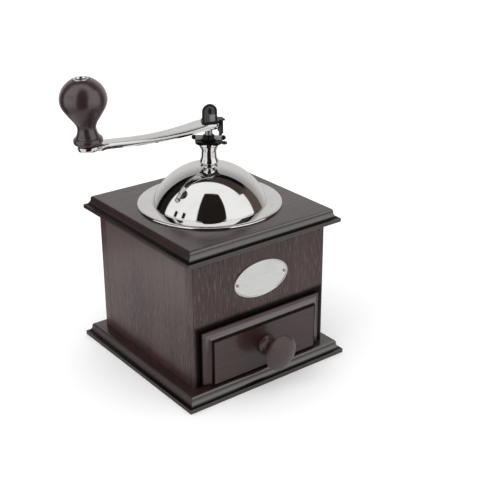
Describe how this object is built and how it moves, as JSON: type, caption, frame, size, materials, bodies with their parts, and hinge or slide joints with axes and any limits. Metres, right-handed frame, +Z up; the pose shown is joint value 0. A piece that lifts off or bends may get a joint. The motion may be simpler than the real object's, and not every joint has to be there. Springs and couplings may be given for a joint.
{
  "type": "manual coffee grinder",
  "caption": "Hand-cranked box mill: a moulded wooden case with a pull-out drawer, under a chromed dome, hourglass neck and offset crank with a turned knob.",
  "frame": {"origin": "centre of the base board's underside", "axes": "+Z up along the grinding shaft; the drawer opens towards -Y; +X runs to the right along the drawer front"},
  "size_m": [0.165, 0.1532, 0.2107],
  "materials": {
    "stained_wood": "espresso stain, satin lacquer, fine vertical grain",
    "pale_wood": "plain sanded",
    "chrome": "polished",
    "steel": "plain",
    "satin_silver": "satin face, bright rim",
    "black_steel": "blackened, semi-gloss",
    "cast_iron": "as cast",
    "bronze": "turned"
  },
  "bodies": {
    "case": {"base_board": "stained_wood", "top_board": "stained_wood", "front_panel": "stained_wood", "back_panel": "stained_wood", "left_panel": "stained_wood", "right_panel": "stained_wood", "drawer_guide_left": "pale_wood", "drawer_guide_right": "pale_wood", "flange_ring": "chrome", "dome_shell": "chrome", "neck_sleeve": "chrome", "base_screw_1": "steel", "base_screw_2": "steel", "base_screw_3": "steel", "base_screw_4": "steel", "hopper_bowl": "steel", "bowl_screw_1": "steel", "bowl_screw_2": "steel", "bowl_screw_3": "steel", "bowl_screw_4": "steel", "dome_nut": "steel", "housing_screw_1": "steel", "housing_screw_2": "steel", "housing_screw_3": "steel", "outer_burr": "steel", "plaque": "satin_silver", "plaque_pin_left": "satin_silver", "plaque_pin_right": "satin_silver", "burr_housing": "cast_iron", "neck_bush": "bronze"},
    "drawer": {"drawer_front": "stained_wood", "drawer_left_side": "pale_wood", "drawer_right_side": "pale_wood", "drawer_back": "pale_wood", "drawer_bottom": "pale_wood", "drawer_knob": "stained_wood", "drawer_knob_screw": "steel"},
    "port_shutter": {"shutter": "steel", "shutter_knob": "black_steel"},
    "turning_head": {"thrust_plate": "black_steel", "shaft_spring": "steel"},
    "adjuster": {"adjuster_nut": "black_steel"},
    "crank": {"main_shaft": "chrome", "inner_burr": "steel", "burr_nut": "steel", "crank_arm": "chrome", "crank_nut": "black_steel", "knob_pin": "chrome"},
    "catch": {"catch_lever": "black_steel"},
    "handle": {"crank_knob": "stained_wood", "knob_cap": "chrome"}
  },
  "joints": [
    {"name": "drawer_slide", "type": "slide", "parent": "case", "child": "drawer", "axis": [0, -1, 0], "range_m": [0, 0.08]},
    {"name": "shutter_turn", "type": "hinge", "parent": "case", "child": "port_shutter", "pos_m": [0, 0, 0.12], "axis": [0, 0, 1], "range_deg": [0, 62]},
    {"name": "crank_spin", "type": "hinge", "parent": "case", "child": "turning_head", "pos_m": [0, 0, 0.12], "axis": [0, 0, 1], "continuous": true},
    {"name": "adjuster_turn", "type": "hinge", "parent": "turning_head", "child": "adjuster", "pos_m": [0, 0, 0.16], "axis": [0, 0, -1], "range_deg": [0, 130]},
    {"name": "burr_lift", "type": "slide", "parent": "turning_head", "child": "crank", "axis": [0, 0, 1], "range_m": [0, 0.00045], "deforming": ["shaft_spring"]},
    {"name": "catch_lift", "type": "hinge", "parent": "crank", "child": "catch", "pos_m": [-0.00453, 0.00124, 0.17105], "axis": [-0.263, -0.9648, 0], "range_deg": [0, 14]},
    {"name": "knob_spin", "type": "hinge", "parent": "crank", "child": "handle", "pos_m": [-0.08037, 0.02191, 0.16562], "axis": [-0.0505, 0.0138, 0.9986], "continuous": true}
  ],
  "couplings": [
    {"joint": "adjuster_turn", "follows": "burr_lift", "rad_per_m": 5026.5}
  ]
}
